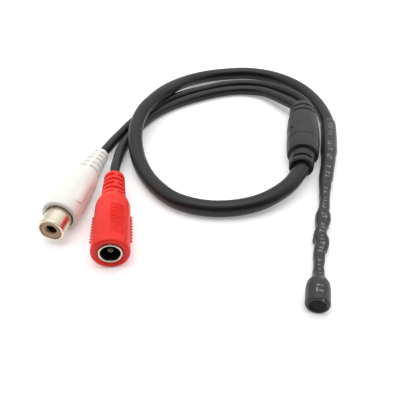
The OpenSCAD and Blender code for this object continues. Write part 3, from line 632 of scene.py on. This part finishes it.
def phonoPads(s, angle, radius):  # depth of a scooped flank, less a thin fin below and the tongue above
    middle, half, deep = phonoForm["flank"]
    start, fade, stop = phonoForm["flankSpan"]
    bow = phonoForm["flankBow"] * (1 - math.sqrt(max(0.0, 1 - ((angle - middle) / half) ** 2)))
    along = smooth(start + bow - 0.15, start + bow + 0.15, s) * (1 - smooth(fade, stop, s))
    cut = deep * band(angle, middle, half, 8) * along
    middle, half, high = phonoForm["fin"]
    start, full, fade, stop = phonoForm["finSpan"]
    cut -= high * band(angle, middle, half, 1) * smooth(start, full, s) * (1 - smooth(fade, stop, s))
    return cut - phonoTongue(s, angle, radius)


def phonoShape(co):
    radius = math.hypot(co.x, co.z)
    s = co.y
    cut = 0.0
    if radius > 2.2 and s > phono["barrelLength"] + 1:  # all but the mouth and the cable's bore
        for i in range(phonoForm["grooves"]):
            centre = phono["length"] - phonoForm["first"] - phonoForm["pitch"] * i
            cut += band(s, centre, phonoForm["half"], 0.16) * (phonoForm["deep"] + phonoForm["deeper"] * i)
        cut *= smooth(phonoForm["spine"] - 0.12, phonoForm["spine"] + 0.12, abs(co.x))
        if radius > 4.6:  # the body's skin, not the relief's
            hand = 1 if co.x > 0 else -1
            cut += phonoPads(s, math.degrees(math.atan2(hand * co.z, hand * co.x)), radius)
        co = Vector((co.x, 0, co.z)) * (1 - cut / radius) + Vector((0, s, 0))
    return phonoFlex(Matrix.Rotation(math.radians(phono["roll"]), 3, "Y") @ co)


def makePhonoBody():
    front, length, barrel, inside = phono["barrelLength"], phono["length"], phono["barrel"] / 2, phonoInside
    relief = length - phono["relief"]
    shoulder = relief - phono["reach"]
    cable = phonoCord["diameter"] / 2 - inside["squeeze"]
    mould, bed, back = inside["mould"], barrel - inside["rootStep"] + 0.08, front + inside["root"] + 0.06
    mouth = front + inside["sunk"] + 0.1
    profile = [
        (cable, length), (cable, length - inside["grip"]), (mould, relief - inside["mouldEnd"]),
        (mould, back), (bed, back), (bed, mouth), (barrel + 0.3, mouth), (barrel + 0.42, front, 0.12),
        (phono["front"] / 2, front, 0.75), (phono["shoulder"] / 2, shoulder + 0.6, 3.2),
        (phono["neck"] / 2 + 0.1, relief - 0.6, 3.2), (phono["tail"] / 2, length, 0.9), (cable, length),
    ]
    return turnedPiece("phonoBody", profile, phonoForm["bodySteps"], phonoFrame, whitePvc,
                       ["rca_body"], phonoShape)


def makePhonoBarrel():
    insulator, barrel = phono["insulator"] / 2, phono["barrel"] / 2
    root, step = barrel - phonoInside["rootStep"], phono["barrelLength"] + phonoInside["sunk"]
    rim, back = insulator - phonoInside["wall"], phono["barrelLength"] + phonoInside["root"]
    floor = back - phonoInside["lip"]
    profile = [
        (insulator, 0.3), (insulator + 0.12, 0, 0.05), (barrel - 0.12, 0, 0.2), (barrel + 0.06, 0.35, 0.15),
        (barrel + 0.05, 0.95, 0.04), (barrel, 1.05, 0.04), (barrel, step), (root, step), (root, back),
        (rim, back), (rim, floor), (insulator, floor), (insulator, 0.3),
    ]
    return turnedPiece("phonoBarrel", profile, phonoForm["ringSteps"], phonoFrame, nickelPlate,
                       ["rca_shell"])


def makePhonoInsulator():
    hole, side = phono["bore"] / 2 + 0.1, phono["insulator"] / 2
    ledge = hole + 0.35
    back = phono["barrelLength"] + phonoInside["root"] - 0.5
    profile = [
        (hole, 1.1), (hole, 0.45, 0.1), (ledge, 0.32, 0.05), (side - 0.12, 0.38, 0.06), (side - 0.02, 0.5),
        (side - 0.02, back), (ledge, back), (ledge, 1.2), (hole, 1.1),
    ]
    return turnedPiece("phonoInsulator", profile, phonoForm["ringSteps"], phonoFrame, tanBoard,
                       ["rca_insulator"])


def makePhonoContact():
    bore, tag = phono["bore"] / 2, phonoInside["tag"]
    back = phono["barrelLength"] + phonoInside["root"]
    floor, end = back - phonoInside["seatDeep"], back + phonoInside["tagBack"]
    profile = [
        (0, floor), (bore, floor), (bore + 0.03, 1.25, 0.03), (bore + 0.4, 1.25, 0.1),
        (bore + 0.4, back - 0.6), (tag, back - 0.5), (tag, end), (0, end),
    ]
    return turnedPiece("phonoContact", profile, phonoForm["contactSteps"], phonoFrame, brassPlate,
                       ["rca_contact"])


phonoPieces = [makePhonoBody(), makePhonoBarrel(), makePhonoInsulator(), makePhonoContact()]
print("phono socket made")


# Power socket
redLook = {"dark": (0.86, 0.022, 0.012), "light": (0.94, 0.032, 0.019), "dust": (0.95, 0.2, 0.17),
           "specks": 0.25, "roughness": 0.36, "peel": 3.6, "depth": 0.007, "shine": 0.33}
beadLook = {"bright": (0.66, 0.60, 0.52), "dull": (0.50, 0.43, 0.34), "tarnish": 0.4, "roughness": 0.22,
            "turning": 0.0004}
# the pin's metal is painted dark far below its real plated colour: painted shade of the deep, narrow hole it
# stands in
pinShadedLook = {"bright": (0.10, 0.095, 0.085), "dull": (0.04, 0.037, 0.034), "tarnish": 0.7, "roughness": 0.2,
           "turning": 0.0004}
redPvc = mouldedFinish("redPvc", redLook)
beadPlate = metalFinish("beadPlate", beadLook)
pinShadedPlate = metalFinish("pinShadedPlate", pinShadedLook)
powerForm = {
    "bodySteps": (168, 0.16), "ringSteps": (96, 0.6), "pinSteps": (64, 0.6),
    "grooves": 5, "first": 3.2, "pitch": 2.5, "half": 0.45, "grooveDeep": 0.56,
    "ribs": 9, "ribFrom": 5.1, "ribPitch": 1.3, "ribHigh": 0.66, "ribHalf": 7, "ribTurn": 4,
    "lines": 14, "lineFrom": 3.8, "linePitch": 0.95, "lineAt": 0.6, "lineHalf": 2.3, "lineDeep": 0.26,
}
powerInside = {"mouldEnd": 1, "grip": 7, "squeeze": 0.15, "tubeEnd": 5.6, "tubeWall": 0.2, "tip": 2.1,
               "tag": 0.6, "tagBack": 2.5}


def powerGrip(co, s):  # height of the ribs on both sides, less the depth of the fine lines on top
    side = math.degrees(math.atan2(co.z, abs(co.x)))
    side -= math.copysign(power["roll"] - powerForm["ribTurn"], co.x)
    flank = 1 - smooth(0.5, powerForm["ribHalf"], abs(side))
    change = 0.0
    for i in range(powerForm["ribs"]):
        gap = abs(s - powerForm["ribFrom"] - powerForm["ribPitch"] * i)
        change += powerForm["ribHigh"] * (1 - smooth(0.08, 0.36, gap)) * flank
    if co.z > 0:
        across = band(co.x, powerForm["lineAt"], powerForm["lineHalf"], 0.2)
        for i in range(powerForm["lines"]):
            spot = powerForm["lineFrom"] + powerForm["linePitch"] * i
            change -= powerForm["lineDeep"] * band(s, spot, 0.19, 0.16) * across
    return change


def powerShape(co):
    radius = math.hypot(co.x, co.z)
    s = co.y
    if radius < 3.3:  # the room inside and the cable's bore
        return co
    change = 0.0
    for i in range(powerForm["grooves"]):  # in turn, a groove is parted by a spine or stops at the sides
        centre = power["length"] - powerForm["first"] - powerForm["pitch"] * i
        reach = 1 - smooth(3.3, 3.6, abs(co.x)) if i % 2 else smooth(0.55, 0.85, abs(co.x))
        change -= powerForm["grooveDeep"] * band(s, centre, powerForm["half"], 0.14) * reach
    if radius > 4.8:  # the body's skin, not the relief's
        change += powerGrip(co, s)
    scale = 1 + change / radius
    return Vector((co.x * scale, s, co.z * scale))


def makePowerBody():
    length, inside = power["length"], powerInside
    relief = length - power["relief"]
    tube, ring = power["shell"] / 2 + 0.03, power["shell"] / 2 + power["bead"]
    floor = 2 * power["bead"] + 0.15
    cable = powerCord["diameter"] / 2 - inside["squeeze"]
    slopeFrom, slopeTo = power["slope"]
    profile = [
        (cable, length), (cable, length - inside["grip"]), (tube, relief - inside["mouldEnd"]), (tube, floor),
        (ring + 0.05, floor), (ring + 0.07, 0.66), (ring + 0.95, 0.06, 0.25), (power["front"] / 2, 0, 1.6),
        (power["shoulder"] / 2, slopeFrom, 1.8), (power["neck"] / 2 + 0.1, slopeTo, 1.0),
        (power["tail"] / 2, length, 1.4), (cable, length),
    ]
    rolled = powerFrame @ Matrix.Rotation(math.radians(power["roll"]), 4, "Y")
    return turnedPiece("powerBody", profile, powerForm["bodySteps"], rolled, redPvc, ["dc_body"],
                       powerShape)


def makePowerRing():  # a tube whose front edge is rolled outwards into a bead
    tube, bead, end = power["shell"] / 2, power["bead"], powerInside["tubeEnd"]
    rolledEdge = arc((tube, bead + 0.12), bead, 121.8, 450, 24)
    profile = rolledEdge + [(tube, end), (tube - powerInside["tubeWall"], end), rolledEdge[0]]
    return turnedPiece("powerRing", profile, powerForm["ringSteps"], powerFrame, beadPlate,
                       ["dc_shell"])


def makePowerPin():
    pin, depth, back = power["pin"] / 2, power["depth"], power["back"]
    tip, tag, end = powerInside["tip"], powerInside["tag"], back + powerInside["tagBack"]
    profile = [
        (0, tip - 0.05), (0.35, tip - 0.3, 0.1), (pin - 0.25, tip - 0.48, 0.12), (pin, tip, 0.2),
        (pin, depth), (pin - 0.25, depth), (pin - 0.25, back - 0.1), (tag, back + 0.5), (tag, end), (0, end),
    ]
    return turnedPiece("powerPin", profile, powerForm["pinSteps"], powerFrame, pinShadedPlate, ["dc_pin"])


powerPieces = [makePowerBody(), makePowerRing(), makePowerPin()]
print("power socket made")


# Heat shrink sleeve over the capsule, the preamplifier board and the cable's end
sleeveLook = {"dark": (0.022, 0.022, 0.024), "light": (0.036, 0.036, 0.039), "print": (0.34, 0.35, 0.35),
              "roughness": 0.40, "shine": 0.45, "crease": 0.05, "cell": 1.7, "shown": 0.3, "inked": 0.8}
sleeveForm = {
    "line": [
        (-9.0, -36.5, 2.3), (-8.1, -32.0, 2.0), (-7.05, -27.4, 1.9), (-5.7, -23.0, 2.1), (-4.8, -18.5, 2.2),
        (-3.3, -13.7, 2.1), (-2.1, -9.0, 2.1), (-1.0, -5.0, 2.0), (0.35, -0.2, 1.9), (1.7, 5.0, 2.1),
        (3.1, 11.1, 2.4), (4.6, 16.0, 2.6), (6.1, 21.2, 2.9),
    ],
    # y, then x of the left and of the right edge, and half the height
    "edges": [
        (-36.5, -10.75, -7.2, 2.2), (-35.0, -10.3, -7.05, 1.9), (-33.6, -10.15, -6.85, 1.8),
        (-32.1, -9.6, -6.6, 1.7), (-30.5, -9.15, -6.1, 1.7), (-29.0, -8.9, -5.7, 1.75),
        (-27.4, -8.75, -5.3, 1.75), (-25.8, -8.4, -4.95, 1.8), (-24.2, -7.8, -3.8, 1.95),
        (-22.5, -7.2, -3.1, 2.05), (-20.8, -7.6, -2.75, 2.1), (-19.1, -7.15, -3.0, 2.1),
        (-17.3, -6.4, -2.85, 2.0), (-15.5, -5.5, -2.05, 1.9), (-13.7, -5.4, -1.15, 2.0),
        (-11.8, -5.15, -0.3, 2.1), (-9.9, -4.6, 0.2, 2.1), (-7.9, -3.65, 0.05, 2.0), (-5.9, -2.9, 0.65, 1.95),
        (-2.3, -1.7, 1.6, 1.9), (2.0, -1.05, 2.55, 1.9), (6.4, -0.25, 4.0, 2.0), (11.1, 0.7, 5.65, 2.25),
        (16.0, 2.1, 7.1, 2.5), (21.1, 3.4, 8.7, 2.75),
    ],
    # behind the capsule the sleeve shrinks to these radii, at these distances past the capsule's end
    "waist": [(1.7, 3.15), (2.7, 2.6)],
    "steps": (96, 0.36), "mouth": 2.35, "rim": 3.0, "bore": 3.06, "wall": 0.25,
    "box": 2.9, "boxSpan": (2.5, 40, 62),
}


def printMarks(finish):  # light marks along the top: a bar across or a stem along, in most of the cells
    x, y, z = finish.outputs("ShaderNodeSeparateXYZ", {0: finish.place})
    cells = y / sleeveLook["cell"]
    cell = finish.make("ShaderNodeMath", {"operation": "FLOOR"}, {0: cells})
    within = finish.make("ShaderNodeMath", {"operation": "FRACT"}, {0: cells})
    first, second, third = [
        finish.make("ShaderNodeTexWhiteNoise", {"noise_dimensions": "1D"}, {"W": cell + shift})
        for shift in (0.2, 40.2, 80.2)]
    shown = third > sleeveLook["shown"]
    bar = (abs(within - 0.3 - second * 0.5) < 0.12) * (abs(x - first * 0.5) < second * 0.9 + 0.45) * shown
    stem = (abs(x + 0.7 - (second > 0.5) * 1.7) < 0.19) * (first > 0.4) * (within > 0.15) * shown
    return finish.make("ShaderNodeMath", {"operation": "MAXIMUM"}, {0: bar, 1: stem}) * (z > 0)


def sleeveFinish():
    rough = sleeveLook["roughness"]
    finish = Finish("sleeveBlack", follow=True, Roughness=rough, Specular_IOR_Level=sleeveLook["shine"])
    creases = finish.grain(1.0, 4, at=finish.stretch(2.2, 0.4, 2.2))
    fine = finish.grain(5.0)
    worn = finish.between(finish.grain(2.2), 0.33, 0.55)
    ink = printMarks(finish) * worn * sleeveLook["inked"]
    # the tone follows the creases' height: darker in their hollows and lighter on their crests, painted shade
    # and painted highlight
    tone = finish.mixed(creases, sleeveLook["dark"], sleeveLook["light"])
    return finish.feed(
        Base_Color=finish.mixed(ink, tone, sleeveLook["print"]),
        Roughness=finish.between(fine, 0.3, 0.7, rough - 0.08, rough + 0.1),
        Normal=finish.relief(creases + fine * 0.2, sleeveLook["crease"]),
    )


def sleeveSizes(route):  # place along the route, then reach to the left, to the right and up
    full, length = capsule["radius"], capsule["length"]
    sizes = [[0.0] + [full] * 3, [length + 0.5] + [full] * 3]
    sizes += [[length + past] + [radius] * 3 for past, radius in sleeveForm["waist"]]
    for y, left, right, high in sleeveForm["edges"]:
        s = route.nearest(Vector(((left + right) / 2, y, high)))
        point = route.at(s)[0]
        sizes.append([s, point.x - left, right - point.x, high])
    return sizes + [[place] + [lap["radius"]] * 3 for place in (route.nearest(lapPoints[0]), route.length)]


def makeSleeve():
    front = [capsuleFrame @ Vector((0, s, 0)) for s in (0, 1.5, 3.5, capsule["length"] + 0.5)]
    route = Route(front + [Vector(p) for p in sleeveForm["line"]] + lapPoints)
    sizes = sleeveSizes(route)
    mouth, rim, bore, skin = sleeveForm["mouth"], sleeveForm["rim"], sleeveForm["bore"], capsule["radius"]
    mesh = turned([
        (mouth, 0.05), (mouth, -0.25, 0.08), (rim, -0.25, 0.3), (skin, 0.35, 0.3), (skin, route.length, 0.08),
        (bore, route.length, 0.08), (bore, 0.05), (mouth, 0.05)], *sleeveForm["steps"])
    noteStraight(mesh)
    start = capsule["length"] + 0.6
    squarer, rounder, end = sleeveForm["boxSpan"]

    def shrunk(co):
        s = co.y
        if s < 0.4:
            return co
        left, right, high = blendTable(sizes, s)
        wall = sleeveForm["wall"] if math.hypot(co.x, co.z) < 3.2 else 0.0
        angle = math.atan2(co.x, co.z)
        across, up = math.sin(angle), math.cos(angle)
        amount = smooth(start, start + squarer, s) * (1 - smooth(rounder, end, s))
        box = 2 + (sleeveForm["box"] - 2) * amount
        square = (abs(across) ** box + abs(up) ** box) ** (-1 / box)
        crease = 0.07 * ripple((across * 2, s * 0.42, up * 2), 1.1, 3)
        crease += 0.09 * ripple((across * 2, s, up * 2), 3, 8)
        grow = crease * (0.25 + 0.75 * amount) * smooth(start - 1, start + 1, s) - wall
        wide = left if across < 0 else right
        return Vector((across * (wide * square + grow), s, up * (high * square + grow)))
    placed(bentOnto(shaped(mesh, shrunk), route), Matrix())
    makePiece("sleeve", mesh, sleeveFinish(), ["heat_shrink_sleeve"], crease=55)


makeSleeve()
print("sleeve made")

# Finishes of the carried-over pieces, by their material slots
slotLooks = {
    "felt_black": {"dark": (0.006, 0.006, 0.007), "light": (0.016, 0.016, 0.018), "dust": (0.05, 0.05, 0.05),
                   "specks": 0.5, "roughness": 0.92, "peel": 9, "depth": 0.05},
    "film": {"dark": (0.66, 0.62, 0.42), "light": (0.76, 0.73, 0.54), "dust": (0.85, 0.84, 0.75),
             "specks": 0.2, "roughness": 0.2, "peel": 4, "depth": 0.002},
    "holder_white": {"dark": (0.72, 0.71, 0.65), "light": (0.80, 0.79, 0.74), "dust": (0.6, 0.58, 0.5),
                     "specks": 0.2, "roughness": 0.42, "peel": 5, "depth": 0.004},
    "board_green": {"dark": (0.02, 0.11, 0.05), "light": (0.04, 0.17, 0.08), "dust": (0.2, 0.3, 0.2),
                    "specks": 0.3, "roughness": 0.3, "peel": 7, "depth": 0.006},
    "component_black": {"dark": (0.015, 0.015, 0.016), "light": (0.03, 0.03, 0.032), "dust": (0.1, 0.1, 0.1),
                        "specks": 0.4, "roughness": 0.5, "peel": 8, "depth": 0.01},
    "component_tan": {"dark": (0.42, 0.21, 0.07), "light": (0.55, 0.30, 0.12), "dust": (0.6, 0.45, 0.3),
                      "specks": 0.3, "roughness": 0.28, "peel": 3, "depth": 0.01},
    "wire_red": {"dark": (0.42, 0.02, 0.02), "light": (0.52, 0.035, 0.03), "dust": (0.5, 0.2, 0.2),
                 "specks": 0.2, "roughness": 0.35, "peel": 3, "depth": 0.004},
    "wire_yellow": {"dark": (0.62, 0.46, 0.05), "light": (0.72, 0.57, 0.08), "dust": (0.6, 0.5, 0.3),
                    "specks": 0.2, "roughness": 0.35, "peel": 3, "depth": 0.004},
    "mould_natural": {"dark": (0.62, 0.62, 0.56), "light": (0.72, 0.72, 0.67), "dust": (0.5, 0.5, 0.45),
                      "specks": 0.2, "roughness": 0.5, "peel": 3, "depth": 0.008},
    "liner_black": {"dark": (0.004, 0.004, 0.0045), "light": (0.008, 0.008, 0.009),
                    "dust": (0.03, 0.03, 0.03), "specks": 0.3, "roughness": 0.5, "peel": 5, "depth": 0.008},
    "insulator_tan": tanLook,
}
slotMetals = {
    "can_aluminium": {"bright": (0.82, 0.82, 0.83), "dull": (0.6, 0.6, 0.6), "tarnish": 0.3,
                      "roughness": 0.3, "turning": 0.003},
    "wire_copper": {"bright": (0.85, 0.48, 0.30), "dull": (0.5, 0.26, 0.16), "tarnish": 0.4,
                    "roughness": 0.3, "turning": 0.002},
    "splice_tin": {"bright": (0.66, 0.66, 0.64), "dull": (0.45, 0.45, 0.43), "tarnish": 0.4,
                   "roughness": 0.36, "turning": 0.003},
    "spring_bronze": {"bright": (0.80, 0.66, 0.40), "dull": (0.5, 0.38, 0.2), "tarnish": 0.4,
                      "roughness": 0.25, "turning": 0.002},
    "brass": brassLook,
    "nickel": nickelLook,
}


def dressNodes():
    slots = {part["node"]: part["material_slot"] for part in frame["record"]["subparts"]}
    made = {}
    for name, node in frame["nodes"].items():
        if node.hide_render:
            continue
        slot = slots[name]
        if slot not in made:
            if slot in slotMetals:
                made[slot] = metalFinish("inner-" + slot, slotMetals[slot], follow=False)
            else:
                made[slot] = mouldedFinish("inner-" + slot, slotLooks[slot], follow=False)
        node.data.materials.clear()
        node.data.materials.append(made[slot])


dressNodes()
print("carried-over pieces finished")

declareCord(mainCable, mainRoute, mainCord, True)
declareCord(phonoCable, phonoRoute, phonoCord,
            False)
declareCord(powerCable, powerRoute, powerCord,
            False)
